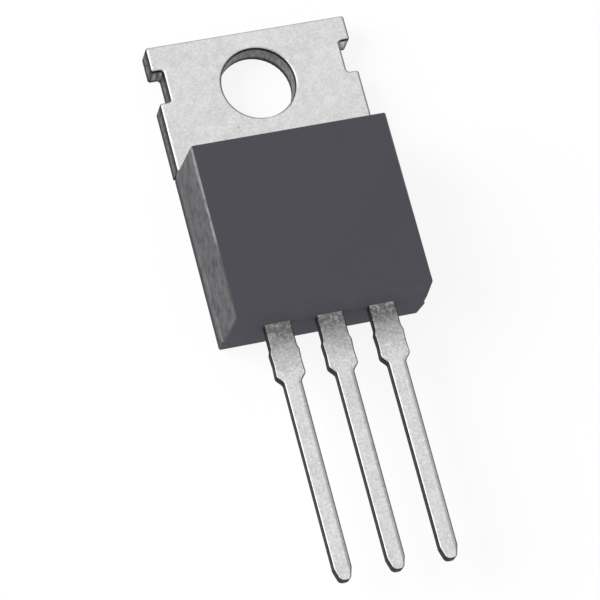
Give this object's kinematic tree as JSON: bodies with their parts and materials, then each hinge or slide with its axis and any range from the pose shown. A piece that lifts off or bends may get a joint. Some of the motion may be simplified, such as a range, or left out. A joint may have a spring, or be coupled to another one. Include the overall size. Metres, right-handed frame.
{
  "type": "voltage regulator",
  "caption": "Voltage regulator in a moulded power package with a bare metal mounting tab and flat straight leads.",
  "frame": {"origin": "centre of the mounting hole, in the plane of the bare metal back", "axes": "+Z out of the front of the case, along the mounting hole; +Y along the part, from the leads to the mounting tab; +X to the right, seen from the front with the tab up"},
  "size_m": [0.01, 0.0278, 0.0043],
  "materials": {
    "tin_plate": "matte tin plate on copper",
    "moulding_compound": "satin black epoxy",
    "silicon": "polished",
    "solder": "dull",
    "aluminium_wire": "drawn"
  },
  "bodies": {
    "root": {"heat_sink": "tin_plate", "input_lead": "tin_plate", "output_lead": "tin_plate", "moulded_case": "moulding_compound", "regulator_die": "silicon", "die_solder": "solder", "input_bond_wire": "aluminium_wire", "output_bond_wire": "aluminium_wire", "sense_bond_wire": "aluminium_wire", "ground_bond_wire": "aluminium_wire"}
  },
  "joints": []
}
